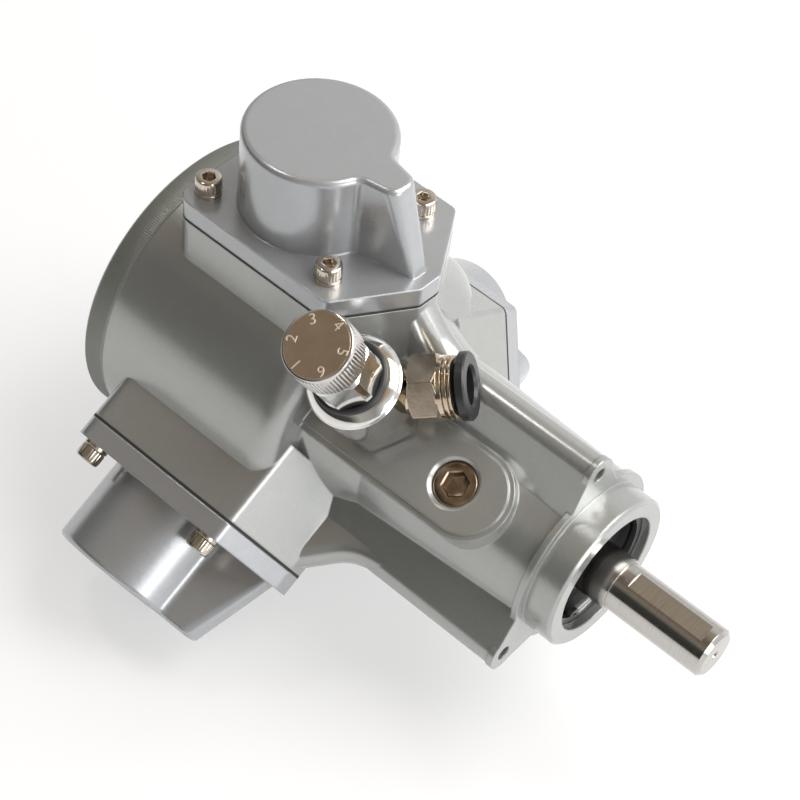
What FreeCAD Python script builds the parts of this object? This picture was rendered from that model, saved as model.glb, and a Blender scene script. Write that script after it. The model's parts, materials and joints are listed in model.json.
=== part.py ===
import FreeCAD
import Part
import Sketcher

import math
import os
import re

# Three-cylinder radial piston air motor with a speed control valve.
# X runs along the output shaft, towards its free end. Z runs up through the first cylinder.
# The origin is where the shaft axis meets the face of the mounting flange.
# Lengths are millimetres, angles degrees. Names ending in _back are distances behind the flange face.

SIZES = {
    # Stations along the shaft
    "throw_back": 98.5,
    "barrel_tail": 33.5,
    "cavity_back": 84,
    "shoulder_back": 72,
    "cone_back": 54,
    # Crankcase barrel and nose
    "barrel_radius": 43.5,
    "barrel_round": 6,
    "cavity_radius": 37,
    "cover_bore_radius": 38.5,
    "cover_bore_depth": 7,
    "cone_radius": 31,
    "nose_root_radius": 26,
    "nose_radius": 24,
    "nose_bore_radius": 13.5,
    "sleeve_seat_radius": 16,
    "sleeve_back": 71.5,
    "sleeve_front_back": 42,
    # Mounting flange at the front of the nose
    "pilot_radius": 22.5,
    "pilot_height": 8.5,
    "edge_break": 0.8,
    "flange_radius": 25.4,
    "flange_thickness": 1.8,
    "ear_circle_radius": 31.9,
    "ear_radius": 5,
    "ear_hole_radius": 2.1,
    "ear_hole_depth": 14,
    "ridge_radius": 4.6,
    "ridge_spread": 11,
    "ridge_root_share": 0.8,
    "ridge_flank_share": 0.9,
    "ridge_flank_rise": 2,
    # Cylinder stations, spaced evenly round the shaft
    "station_angle": 120,
    "seam_height": 49.1,
    "gasket_thickness": 0.8,
    "plate_thickness": 5.7,
    "plate_half_width": 24.5,
    "plate_rear": 26,
    "plate_front": 26.5,
    "plate_tip": 39.8,
    "plate_tip_half_width": 3.5,
    "plate_corner": 5,
    "plate_front_corner": 2.5,
    "head_radius": 20,
    "head_height": 80.2,
    "head_round": 1.6,
    "bore_radius": 16,
    "crown_thickness": 4,
    "opening_clearance": 1,
    "column_root": 5,
    "column_root_half": 9,
    "column_tip": 36.2,
    "column_tip_half": 2.8,
    "column_top": 28.7,
    "column_round_top": 4,
    "column_round_foot": 1.6,
    "column_blend": 3,
    "passage_radius": 2.2,
    "passage_forward": 29.7,
    "passage_knee": 62,
    "passage_lean": 50,
    "web_half_width": 5,
    "web_round": 4.5,
    "web_drop": 1.9,
    "web_knee_back": 48.6,
    "web_knee_height": 37.2,
    "web_knee_round": 16,
    "web_toe_back": 26,
    "web_toe_height": 33.6,
    "web_toe_run": 6,
    # Cylinder head screws
    "screw_spacing_x": 21,
    "screw_spacing_y": 17.5,
    "screw_radius": 2,
    "screw_length": 16,
    "screw_head_radius": 3.5,
    "screw_head_height": 4,
    "screw_hole_clearance": 0.25,
    "socket_across": 3,
    "socket_depth": 2,
    "washer_radius": 3.4,
    "washer_thickness": 1.1,
    # Rear cover and its ring seal
    "cover_thickness": 7.5,
    "cover_clearance": 0.05,
    "cover_spigot_depth": 6,
    "cover_recess_radius": 31,
    "cover_dish_depth": 1.5,
    "spanner_hole_radius": 3,
    "spanner_hole_circle": 27,
    "spanner_hole_depth": 4,
    "ring_seal_section": 1.25,
    "ring_groove_width": 3,
    # Valve pad on the nose
    "pad_angle": 32,
    "pad_height": 28.5,
    "pad_half_width": 10.8,
    "pad_offset": 6,
    "pad_end_back": 24.4,
    "pad_lip_width": 1.5,
    "pad_lip_drop": 0.8,
    "port_radius": 4.9,
    "port_floor": 14.5,
    "plug_back": 28.6,
    "plug_port_radius": 6.1,
    "countersink_radius": 7,
    "exhaust_angle": 180,
    "exhaust_boss_radius": 9,
    "exhaust_boss_height": 27.5,
    # Bearings
    "front_bearing_outer_radius": 17.5,
    "front_bearing_front_back": 2.5,
    "front_bearing_width": 11,
    "front_bearing_bore_radius": 7.5,
    "front_ball_radius": 2.9,
    "rear_bearing_outer_radius": 20,
    "rear_bearing_width": 12,
    "rear_bearing_bore_radius": 8.5,
    "rear_ball_radius": 3.3,
    "race_clearance": 0.05,
    "race_ring_share": 0.36,
    # Oil seal and retaining ring
    "seal_width": 6,
    "seal_lip_clearance": 0.05,
    "seal_shell_radius": 15.6,
    "seal_shell_slope": 0.6,
    "seal_wall": 1.5,
    "seal_face_depth": 2.2,
    "seal_lip_foot_radius": 10,
    "seal_lip_width": 0.9,
    "seal_lip_drop": 0.4,
    "circlip_thickness": 1.5,
    "circlip_radius": 18.5,
    "circlip_inner_radius": 15.8,
    "circlip_groove_gap": 0.1,
    "circlip_forward": 4.2,
    "circlip_gap_width": 9,
    "circlip_lug_radius": 2,
    "circlip_lug_inset": 1.4,
    "circlip_eye_radius": 0.9,
    # Crankshaft
    "output_radius": 7,
    "output_tip": 43.4,
    "output_step": 13.5,
    "tip_chamfer": 1,
    "centre_hole_radius": 1.2,
    "centre_hole_depth": 3,
    "flat_from": 17,
    "flat_to": 40,
    "flat_height": 6.5,
    "flat_angle": 7,
    "collar_radius": 10.5,
    "collar_thickness": 1.5,
    "crank_web_radius": 16,
    "crank_web_thickness": 6,
    "crank_offset": 7,
    "crank_pin_radius": 6,
    "crank_pin_length": 14.5,
    "crank_ring_radius": 11,
    "crank_ring_width": 11.5,
    "crank_ring_clearance": 0.05,
    "counterweight_radius": 33,
    # Rotary valve and its sleeve
    "rotor_radius": 11.4,
    "rotor_clearance": 0.05,
    "rotor_end_gap": 0.3,
    "groove_depth": 1.8,
    "groove_width": 9,
    "sleeve_port_count": 6,
    "pocket_depth": 1.9,
    "pocket_land": 1,
    "pocket_half_web": 2,
    # Pistons, pins and rods
    "piston_clearance": 0.05,
    "piston_length": 22,
    "piston_crown_thickness": 3.5,
    "piston_wall": 3.4,
    "pin_below_crown": 11.5,
    "pin_radius": 4,
    "pin_length": 29,
    "pin_wall": 2,
    "pin_clearance": 0.04,
    "ring_groove_below_crown": 1.4,
    "ring_height": 2,
    "ring_depth": 2.2,
    "ring_stand_out": 0.02,
    "rod_length": 55,
    "rod_eye_radius": 6.8,
    "rod_width": 8,
    "rod_shank_half": 3.2,
    "rod_shank_flare": 1.3,
    "rod_foot_gap": 1.5,
    "rod_foot_half": 6,
    "rod_foot_thickness": 3,
    "rod_foot_taper": 2.4,
    "rod_saddle_depth": 1,
    # Speed control valve, with heights measured from the pad's face
    "valve_back": 57.3,
    "valve_side": -1.85,
    "valve_turn": 38.5,
    "valve_across": 22,
    "valve_hex_turn": 20,
    "valve_hex_top": 10,
    "valve_corner_radius": 12.4,
    "valve_washer_radius": 7.6,
    "valve_washer_thickness": 1,
    "valve_top": 22.4,
    "valve_stub_length": 8,
    "valve_bore_radius": 3,
    "valve_seat_radius": 1.8,
    "valve_seat_height": 8,
    "bonnet_neck_radius": 8.2,
    "bonnet_hex_base": 26.5,
    "bonnet_across": 16.6,
    "bonnet_hex_turn": 12,
    "bonnet_top": 39.3,
    "bonnet_ring_section": 0.8,
    "needle_radius": 2.4,
    "needle_tip": 7.3,
    "needle_tip_radius": 1.2,
    "needle_cone": 5,
    "needle_top": 48.5,
    "needle_clearance": 0.06,
    "knob_radius": 9.3,
    "knob_base": 40.5,
    "knob_top": 50.5,
    "knob_wall": 1.2,
    "knob_hub_wall": 2.4,
    "knob_chamfer": 0.7,
    # Push-in tube fitting, with distances measured from the valve's axis
    "fitting_height": 12.1,
    "fitting_across": 16,
    "fitting_hex_turn": 8,
    "fitting_corner_ease": 1.2,
    "fitting_hex_start": 12.7,
    "fitting_hex_end": 20.3,
    "fitting_collar_radius": 8.1,
    "fitting_collar_end": 24.2,
    "fitting_collar_chamfer": 0.5,
    "fitting_groove_depth": 0.9,
    "fitting_groove_width": 0.9,
    "fitting_groove_slope": 0.2,
    "fitting_groove_low": 0.38,
    "fitting_groove_high": 0.74,
    "fitting_stub_radius": 5.8,
    "fitting_stub_start": 5.5,
    "fitting_bore_radius": 6.6,
    "fitting_bore_start": 13.3,
    "fitting_way_radius": 3.2,
    "tube_radius": 5,
    "release_flange_radius": 8.7,
    "release_flange_start": 25.2,
    "release_flange_end": 27.5,
    "release_sleeve_radius": 5.9,
    "release_sleeve_start": 18.6,
    "release_round": 0.4,
    "tube_lead_width": 0.5,
    "tube_lead_depth": 0.8,
    "grip_clearance": 0.25,
    "grip_start": 15.9,
    "grip_length": 1.2,
    "tube_seal_pinch": 0.2,
    "tube_seal_start": 13.4,
    "tube_seal_length": 2.4,
    # Plug in the spare port
    "plug_clearance": 0.05,
    "plug_top_drop": 0.2,
    "plug_length": 8,
    "plug_socket_across": 6,
    "plug_hex_turn": 10,
    "plug_socket_depth": 4,
}

STATIONS = 3
BALLS = 8

doc = FreeCAD.newDocument("PistonAirMotor")
sheet = doc.addObject("Spreadsheet::Sheet", "Sizes")
for row, (alias, number) in enumerate(SIZES.items(), 1):
    sheet.set("A%d" % row, alias)
    sheet.set("B%d" % row, str(number))
    sheet.setAlias("B%d" % row, alias)
doc.recompute()

nodes = []


# Helpers that bind sizes to the sheet

def ex(text):
    """Turn an expression over size names into one that reads the sheet."""
    def cell(match):
        word = match.group()
        return "Sizes." + word if word in SIZES else word
    return re.sub(r"[a-z][a-z0-9_]*", cell, text)


def bind(thing, **properties):
    for name, text in properties.items():
        thing.setExpression(name, ex(text))
    return thing


def place(thing, at, turn=None):
    thing.Placement = FreeCAD.Placement(FreeCAD.Vector(), turn or FreeCAD.Rotation())
    for letter, text in zip("xyz", at):
        thing.setExpression("Placement.Base." + letter, ex(text))
    return thing


ALONG_X = FreeCAD.Rotation(FreeCAD.Vector(0, 1, 0), 90)


def rod_x(name, radius, start, length, y="0", z="0"):
    """A cylinder that lies along X."""
    thing = doc.addObject("Part::Cylinder", name)
    bind(thing, Radius=radius, Height=length)
    return place(thing, (start, y, z), ALONG_X)


def rod_z(name, radius, start, length, x="0", y="0"):
    """A cylinder that stands along Z."""
    thing = doc.addObject("Part::Cylinder", name)
    bind(thing, Radius=radius, Height=length)
    return place(thing, (x, y, start))


def block(name, corner, lengths):
    thing = doc.addObject("Part::Box", name)
    bind(thing, Length=lengths[0], Width=lengths[1], Height=lengths[2])
    return place(thing, corner)


def hexagon(name, across, start, length, turn, x="0", y="0"):
    """A hexagonal bar along Z, sized across its flats."""
    thing = doc.addObject("Part::Prism", name)
    thing.Polygon = 6
    bind(thing, Circumradius="(%s) / sqrt(3)" % across, Height=length)
    place(thing, (x, y, start), FreeCAD.Rotation(FreeCAD.Vector(0, 0, 1), 1))
    thing.setExpression("Placement.Rotation.Angle", ex(turn))
    return thing


def gather(name, things):
    thing = doc.addObject("Part::Compound", name)
    thing.Links = things
    return thing


def fuse(name, things):
    thing = doc.addObject("Part::MultiFuse", name)
    thing.Shapes = things
    return thing


def common(name, things):
    thing = doc.addObject("Part::MultiCommon", name)
    thing.Shapes = things
    return thing


def cut(name, base, tools):
    thing = doc.addObject("Part::Cut", name)
    thing.Base = base
    thing.Tool = tools[0] if len(tools) == 1 else fuse(name + "_tools", tools)
    return thing


def turned(thing, angle):
    """Turn a piece about the shaft axis by an angle given as an expression."""
    thing.Placement = FreeCAD.Placement(FreeCAD.Vector(), FreeCAD.Rotation(FreeCAD.Vector(1, 0, 0), 1))
    thing.setExpression("Placement.Rotation.Angle", ex(angle))
    return thing


def station(thing, index):
    return turned(thing, "station_angle * %d" % index) if index else thing


def node(thing, label):
    """Mark a finished piece: its label is the node's name."""
    thing.Label = label
    nodes.append(thing)
    return thing


def plane(body, role):
    return [item for item in body.Origin.OriginFeatures if item.Role == role][0]


def sketch_on(body, role, name, offset="0"):
    sketch = body.newObject("Sketcher::SketchObject", name)
    sketch.AttachmentSupport = [(plane(body, role), "")]
    sketch.MapMode = "FlatFace"
    sketch.setExpression("AttachmentOffset.Base.z", ex(offset))
    return sketch


def outline(sketch, points):
    """Draw a closed outline whose corners are held by expressions."""
    count = len(points)
    start = [FreeCAD.Vector(10 + index, index * index, 0) for index in range(count)]
    for index in range(count):
        sketch.addGeometry(Part.LineSegment(start[index], start[(index + 1) % count]))
    for index in range(count):
        sketch.addConstraint(Sketcher.Constraint("Coincident", index, 2, (index + 1) % count, 1))
    for index, point in enumerate(points):
        for kind, text, value in zip(("DistanceX", "DistanceY"), point, start[index]):
            held = sketch.addConstraint(Sketcher.Constraint(kind, -1, 1, index, 1, value))
            sketch.setExpression("Constraints[%d]" % held, ex(text))
    return sketch


def revolved(name, points, about="H_Axis"):
    """A turned piece: an outline in the XZ plane, swept about X or about Z."""
    body = doc.addObject("PartDesign::Body", name)
    sketch = outline(sketch_on(body, "XZ_Plane", name + "_outline"), points)
    turn = body.newObject("PartDesign::Revolution", name + "_turn")
    turn.Profile = sketch
    turn.ReferenceAxis = (sketch, [about])
    turn.Angle = 360
    return body


# Corners of an eight-sided section round a circle of radius 1. Its slanted sides lie sqrt(2) from the middle.
NARROW = "(sqrt(2) - 1)"
SECTION = [("1", NARROW), (NARROW, "1"), ("-" + NARROW, "1"), ("-1", NARROW),
           ("-1", "-" + NARROW), ("-" + NARROW, "-1"), (NARROW, "-1"), ("1", "-" + NARROW)]


def seal_ring(name, section, radius, along, about="H_Axis"):
    """A ring seal about X or Z. Its section has eight sides."""
    if about == "H_Axis":
        points = [("%s + (%s) * %s" % (along, section, first), "%s + (%s) * %s" % (radius, section, second))
                  for first, second in SECTION]
    else:
        points = [("%s + (%s) * %s" % (radius, section, first), "%s + (%s) * %s" % (along, section, second))
                  for first, second in SECTION]
    return revolved(name, points, about)


def plate(name, points, height, offset="0", role="XY_Plane", both_ways=False):
    """A piece of even thickness with the given outline."""
    body = doc.addObject("PartDesign::Body", name)
    sketch = outline(sketch_on(body, role, name + "_outline", offset), points)
    pad = body.newObject("PartDesign::Pad", name + "_pad")
    pad.Profile = sketch
    pad.Midplane = both_ways
    pad.setExpression("Length", ex(height))
    return body


def rounded(body, name, radius, wanted):
    """Round the edges of a body's tip that the test function picks out."""
    doc.recompute()
    tip = body.Tip
    picked = ["Edge%d" % (index + 1) for index, edge in enumerate(tip.Shape.Edges) if wanted(edge)]
    round_off = body.newObject("PartDesign::Fillet", name)
    round_off.Base = (tip, picked)
    round_off.setExpression("Radius", ex(radius))
    return body


def eased(name, base, first, last, wanted):
    """Round edges of a solid, with a radius that runs from the first size to the last one up each edge."""
    doc.recompute()
    thing = doc.addObject("Part::Fillet", name)
    thing.Base = base
    picked = []
    for number, edge in enumerate(base.Shape.Edges, 1):
        if wanted(edge):
            rises = edge.Vertexes[0].Point.z <= edge.Vertexes[-1].Point.z
            pair = (first, last) if rises else (last, first)
            picked.append((number, SIZES[pair[0]], SIZES[pair[1]]))
    thing.Edges = picked
    return thing


def runs_along(edge, letter):
    """Tell whether an edge is straight and parallel to an axis."""
    box = edge.BoundBox
    spans = {"x": box.XLength, "y": box.YLength, "z": box.ZLength}
    return spans[letter] > 0.5 and all(span < 0.01 for key, span in spans.items() if key != letter)


def near(first, second, slack=0.02):
    return abs(first - second) < slack


# Shared outlines of the cylinder stations, upright, with the first cylinder's axis along Z

PLATE_OUTLINE = [
    ("-throw_back - plate_rear", "-plate_half_width"),
    ("-throw_back + plate_front", "-plate_half_width"),
    ("-throw_back + plate_tip", "-plate_tip_half_width"),
    ("-throw_back + plate_tip", "plate_tip_half_width"),
    ("-throw_back + plate_front", "plate_half_width"),
    ("-throw_back - plate_rear", "plate_half_width"),
]

SCREW_PLACES = [(along, across) for along in (-1, 1) for across in (-1, 1)]


def screw_pattern(name, radius, start, length):
    """Four cylinders at the places of a head's screws."""
    rods = []
    for index, (along, across) in enumerate(SCREW_PLACES):
        x = "-throw_back + screw_spacing_x * %d" % along
        y = "screw_spacing_y * %d" % across
        rods.append(rod_z("%s_%d" % (name, index + 1), radius, start, length, x, y))
    return rods


def station_plate(name, offset, height):
    body = plate(name, PLATE_OUTLINE, height, offset)
    axis = -SIZES["throw_back"]
    rounded(body, name + "_rear_corners", "plate_corner",
            lambda edge: runs_along(edge, "z") and edge.BoundBox.XMax < axis)
    return rounded(body, name + "_front_corners", "plate_front_corner",
                   lambda edge: runs_along(edge, "z") and edge.BoundBox.XMin > axis)


# Crankcase: a turned barrel and nose with three cylinder seats, three ridges, ears and a valve pad

def crankcase():
    shell = revolved("case_shell", [
        ("-throw_back - barrel_tail", "0"),
        ("-throw_back - barrel_tail", "barrel_radius"),
        ("-shoulder_back", "barrel_radius"),
        ("-shoulder_back", "cone_radius"),
        ("-cone_back", "nose_root_radius"),
        ("-flange_thickness", "nose_radius"),
        ("-flange_thickness", "flange_radius"),
        ("0", "flange_radius"),
        ("0", "pilot_radius"),
        ("pilot_height - edge_break", "pilot_radius"),
        ("pilot_height", "pilot_radius - edge_break"),
        ("pilot_height", "0"),
    ])

    def shoulder(edge):
        box = edge.BoundBox
        return near(box.XMin, -SIZES["shoulder_back"]) and near(box.XMax, -SIZES["shoulder_back"]) \
            and near(box.ZMax, SIZES["barrel_radius"])

    rounded(shell, "case_shoulder", "barrel_round", shoulder)
    solids = [shell]

    seat = station_plate("case_seat", "nose_radius", "seam_height - nose_radius")
    ridge_rod = rod_x("case_ridge_rod", "ridge_radius", "-shoulder_back", "shoulder_back", "0",
                      "ear_circle_radius")
    ridge_web = plate("case_ridge_web", [
        ("-ridge_spread", "nose_radius * ridge_root_share"),
        ("ridge_spread", "nose_radius * ridge_root_share"),
        ("ridge_radius * ridge_flank_share", "ear_circle_radius + ridge_flank_rise"),
        ("-ridge_radius * ridge_flank_share", "ear_circle_radius + ridge_flank_rise"),
    ], "shoulder_back", "-shoulder_back", "YZ_Plane")
    ear = rod_x("case_ear", "ear_radius", "-flange_thickness", "flange_thickness", "0", "ear_circle_radius")
    # The air way from a head to the rotary valve runs down a web in front of the seat.
    # The web sweeps into the ridge.
    way_web = plate("case_way_web", [
        ("-throw_back", "nose_radius"),
        ("-throw_back", "seam_height - web_drop"),
        ("-throw_back + plate_tip", "seam_height - web_drop"),
        ("-web_knee_back", "web_knee_height"),
        ("-web_toe_back", "web_toe_height"),
        ("-web_toe_back + web_toe_run", "nose_radius"),
    ], "web_half_width * 2", "0", "XZ_Plane", True)

    def knee(edge):
        return runs_along(edge, "y") and near(edge.BoundBox.XMin, -SIZES["web_knee_back"])

    def way_edge(edge):
        box = edge.BoundBox
        return box.YLength < 0.01 and box.ZMin > SIZES["web_toe_height"] - 0.1 and box.XLength > 1 \
            and box.ZLength > 1 and box.XMin > -SIZES["throw_back"] + 1

    rounded(way_web, "case_way_knee", "web_knee_round", knee)
    rounded(way_web, "case_way_round", "web_round", way_edge)
    for index in range(STATIONS):
        group = fuse("case_station_%d" % (index + 1), [seat, ridge_rod, ridge_web, ear, way_web])
        solids.append(station(group, index))

    pad_width = "(pad_half_width + pad_lip_width)"
    lower_block = block("pad_lip_block", ("-cavity_back", "-pad_offset - " + pad_width, "0"),
                        ("cavity_back - pad_end_back", pad_width + " * 2", "pad_height - pad_lip_drop"))
    lower_end = rod_z("pad_lip_end", pad_width, "0", "pad_height - pad_lip_drop", "-pad_end_back",
                      "-pad_offset")
    upper_block = block("pad_block", ("-cavity_back", "-pad_offset - pad_half_width", "0"),
                        ("cavity_back - pad_end_back", "pad_half_width * 2", "pad_height"))
    upper_end = rod_z("pad_end", "pad_half_width", "0", "pad_height", "-pad_end_back", "-pad_offset")
    valve_boss = rod_z("pad_valve_boss", "valve_corner_radius + edge_break", "0", "pad_height", "-valve_back",
                       "valve_side")
    solids.append(turned(fuse("case_pad", [lower_block, lower_end, upper_block, upper_end, valve_boss]),
                         "pad_angle"))
    exhaust_boss = rod_z("case_exhaust_boss", "exhaust_boss_radius", "0", "exhaust_boss_height", "-plug_back")
    solids.append(turned(gather("case_exhaust", [exhaust_boss]), "exhaust_angle"))
    body = fuse("case_solid", solids)

    hollows = [
        rod_x("cavity", "cavity_radius", "-throw_back - barrel_tail", "throw_back + barrel_tail - cavity_back"),
        rod_x("cover_bore", "cover_bore_radius", "-throw_back - barrel_tail", "cover_bore_depth"),
        rod_x("rear_bearing_seat", "rear_bearing_outer_radius", "-cavity_back", "rear_bearing_width"),
        rod_x("sleeve_seat", "sleeve_seat_radius", "-cavity_back", "cavity_back - sleeve_front_back"),
        rod_x("nose_bore", "nose_bore_radius", "-cavity_back", "cavity_back"),
        rod_x("front_bearing_seat", "front_bearing_outer_radius",
              "-front_bearing_front_back - front_bearing_width",
              "front_bearing_front_back + front_bearing_width + pilot_height"),
        rod_x("circlip_groove", "circlip_radius + circlip_groove_gap", "circlip_forward - circlip_groove_gap",
              "circlip_thickness + circlip_groove_gap * 2"),
    ]
    opening = rod_z("cylinder_opening", "bore_radius + opening_clearance", "nose_radius",
                    "seam_height - nose_radius", "-throw_back")
    passage = rod_z("case_passage", "passage_radius", "nose_bore_radius", "seam_height - nose_bore_radius",
                    "-throw_back + passage_forward")
    ear_hole = rod_x("ear_hole", "ear_hole_radius", "-ear_hole_depth", "ear_hole_depth", "0",
                     "ear_circle_radius")
    screw_depth = "screw_length - washer_thickness - plate_thickness - gasket_thickness + edge_break"
    tapped = screw_pattern("tapped_hole", "screw_radius", "seam_height - (%s)" % screw_depth, screw_depth)
    for index in range(STATIONS):
        group = gather("hollow_station_%d" % (index + 1), [opening, passage, ear_hole] + tapped)
        hollows.append(station(group, index))
    valve_port = rod_z("valve_port", "port_radius", "port_floor", "pad_height - port_floor", "-valve_back",
                       "valve_side")
    plug_port = rod_z("plug_port", "plug_port_radius", "0", "pad_height", "-plug_back", "-pad_offset")
    sink = doc.addObject("Part::Cone", "plug_countersink")
    bind(sink, Radius1="plug_port_radius", Radius2="countersink_radius",
         Height="countersink_radius - plug_port_radius")
    place(sink, ("-plug_back", "-pad_offset", "pad_height - countersink_radius + plug_port_radius"))
    # The valve sits in a spot face that runs a little into the shoulder and the seat beside it.
    spot_face = rod_z("valve_spot_face", "valve_corner_radius + edge_break", "pad_height", "barrel_radius",
                      "-valve_back", "valve_side")
    hollows.append(turned(fuse("pad_ports", [valve_port, plug_port, sink, spot_face]), "pad_angle"))
    exhaust = rod_z("exhaust_port", "port_radius", "0", "exhaust_boss_height", "-plug_back")
    hollows.append(turned(gather("exhaust_ports", [exhaust]), "exhaust_angle"))
    node(cut("crankcase_solid", body, hollows), "crankcase")


# Rear cover: a turned disc with a spigot that carries the ring seal

def rear_cover():
    spigot = "(cover_bore_radius - cover_clearance)"
    disc = revolved("cover_disc", [
        ("-throw_back - barrel_tail - cover_thickness + cover_dish_depth", "0"),
        ("-throw_back - barrel_tail - cover_thickness + cover_dish_depth", "cover_recess_radius"),
        ("-throw_back - barrel_tail - cover_thickness", "cover_recess_radius + cover_dish_depth"),
        ("-throw_back - barrel_tail - cover_thickness", "barrel_radius - edge_break"),
        ("-throw_back - barrel_tail - cover_thickness + edge_break", "barrel_radius"),
        ("-throw_back - barrel_tail", "barrel_radius"),
        ("-throw_back - barrel_tail", spigot),
        ("-throw_back - barrel_tail + cover_spigot_depth", spigot),
        ("-throw_back - barrel_tail + cover_spigot_depth", "cover_recess_radius"),
        ("-throw_back - barrel_tail", "cover_recess_radius - cover_dish_depth"),
        ("-throw_back - barrel_tail", "0"),
    ])
    groove = cut("cover_groove", rod_x("cover_groove_outer", "cover_bore_radius",
                                       "-throw_back - barrel_tail + ring_seal_section", "ring_groove_width"),
                 [rod_x("cover_groove_inner", "cover_bore_radius - ring_seal_section * 2",
                        "-throw_back - barrel_tail", "cover_spigot_depth")])
    holes = [rod_x("spanner_hole_%d" % index, "spanner_hole_radius",
                   "-throw_back - barrel_tail - cover_thickness", "spanner_hole_depth", "0",
                   "spanner_hole_circle * %d" % side)
             for index, side in enumerate((1, -1))]
    node(cut("rear_cover_solid", disc, [groove] + holes), "rear_cover")
    node(seal_ring("cover_ring", "ring_seal_section - cover_clearance", "cover_bore_radius - ring_seal_section",
                   "-throw_back - barrel_tail + ring_seal_section + ring_groove_width / 2"), "cover_ring_seal")


# Cylinder heads: flanged plates with a round cylinder, and a column in front for the air way

def cylinder_head(index):
    tag = "head_%d_" % index
    base = "seam_height + gasket_thickness"
    top = "(head_height - seam_height - gasket_thickness)"
    flange = station_plate(tag + "flange", base, "plate_thickness")
    barrel = rod_z(tag + "barrel", "head_radius", base, top, "-throw_back")
    # The column is a wedge in plan, and its front leans back towards the cylinder's top.
    wedge = plate(tag + "column_plan", [
        ("-throw_back + column_root", "-column_root_half"),
        ("-throw_back + column_tip", "-column_tip_half"),
        ("-throw_back + column_tip", "column_tip_half"),
        ("-throw_back + column_root", "column_root_half"),
    ], top, base)
    lean = plate(tag + "column_side", [
        ("-throw_back", base),
        ("-throw_back", "head_height"),
        ("-throw_back + column_top", "head_height"),
        ("-throw_back + column_tip", base + " + plate_thickness"),
        ("-throw_back + column_tip", base),
    ], "column_root_half * 2", "0", "XZ_Plane", True)
    column = common(tag + "column", [wedge, lean])

    def column_front(edge):
        box = edge.BoundBox
        return box.XMin > -SIZES["throw_back"] + SIZES["column_root"] + 1 \
            and box.ZLength > SIZES["plate_thickness"] + SIZES["edge_break"]

    def joining_line(edge):
        box = edge.BoundBox
        return runs_along(edge, "z") and near(box.ZMax, SIZES["head_height"]) \
            and box.XMin > -SIZES["throw_back"]

    def head_edge(edge):
        box = edge.BoundBox
        return near(box.ZMin, SIZES["head_height"]) and near(box.ZMax, SIZES["head_height"])

    rounded_column = eased(tag + "column_round", column, "column_round_foot", "column_round_top", column_front)
    joined = fuse(tag + "joined", [flange, barrel, rounded_column])
    blended = eased(tag + "blended", joined, "column_blend", "column_blend", joining_line)
    head = eased(tag + "eased", blended, "head_round", "head_round", head_edge)
    # The air way rises through the column, then leans back into the top of the cylinder.
    way_in = rod_z(tag + "way_in", "passage_radius", "passage_knee",
                   "(passage_forward - bore_radius + passage_radius) / sin(passage_lean)",
                   "-throw_back + passage_forward")
    way_in.Placement.Rotation = FreeCAD.Rotation(FreeCAD.Vector(0, -1, 0), 1)
    way_in.setExpression("Placement.Rotation.Angle", ex("passage_lean"))
    ways = [
        rod_z(tag + "bore", "bore_radius", base, top + " - crown_thickness", "-throw_back"),
        rod_z(tag + "way_up", "passage_radius", base, "passage_knee - (%s)" % base,
              "-throw_back + passage_forward"),
        way_in,
    ]
    ways += screw_pattern(tag + "hole", "screw_radius + screw_hole_clearance", base, "plate_thickness")
    label = "cylinder_head_%d" % index
    node(station(cut(label + "_solid", head, ways), index - 1), label)


def head_gasket(index):
    tag = "gasket_%d_" % index
    sheet_body = station_plate(tag + "sheet", "seam_height", "gasket_thickness")
    holes = [
        rod_z(tag + "bore", "bore_radius + opening_clearance", "seam_height", "gasket_thickness",
              "-throw_back"),
        rod_z(tag + "way", "passage_radius", "seam_height", "gasket_thickness",
              "-throw_back + passage_forward"),
    ]
    holes += screw_pattern(tag + "hole", "screw_radius + screw_hole_clearance", "seam_height",
                           "gasket_thickness")
    label = "head_gasket_%d" % index
    node(station(cut(label + "_solid", sheet_body, holes), index - 1), label)


def head_screws(index):
    tag = "screws_%d_" % index
    under = "seam_height + gasket_thickness + plate_thickness"
    seat = under + " + washer_thickness"
    pieces = []
    for number, (along, across) in enumerate(SCREW_PLACES, 1):
        name = "%s%d_" % (tag, number)
        x = "-throw_back + screw_spacing_x * %d" % along
        y = "screw_spacing_y * %d" % across
        head = rod_z(name + "head", "screw_head_radius", seat, "screw_head_height", x, y)
        shank = rod_z(name + "shank", "screw_radius", seat + " - screw_length", "screw_length", x, y)
        socket = hexagon(name + "socket", "socket_across", seat + " + screw_head_height - socket_depth",
                         "socket_depth", "0", x, y)
        pieces.append(cut(name + "screw", fuse(name + "blank", [head, shank]), [socket]))
        ring = rod_z(name + "ring", "washer_radius", under, "washer_thickness", x, y)
        eye = rod_z(name + "eye", "screw_radius + screw_hole_clearance", under, "washer_thickness", x, y)
        pieces.append(cut(name + "washer", ring, [eye]))
    label = "head_screws_%d" % index
    node(station(gather(label + "_set", pieces), index - 1), label)


# Ball bearings: grooved rings with a set of balls between them

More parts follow.
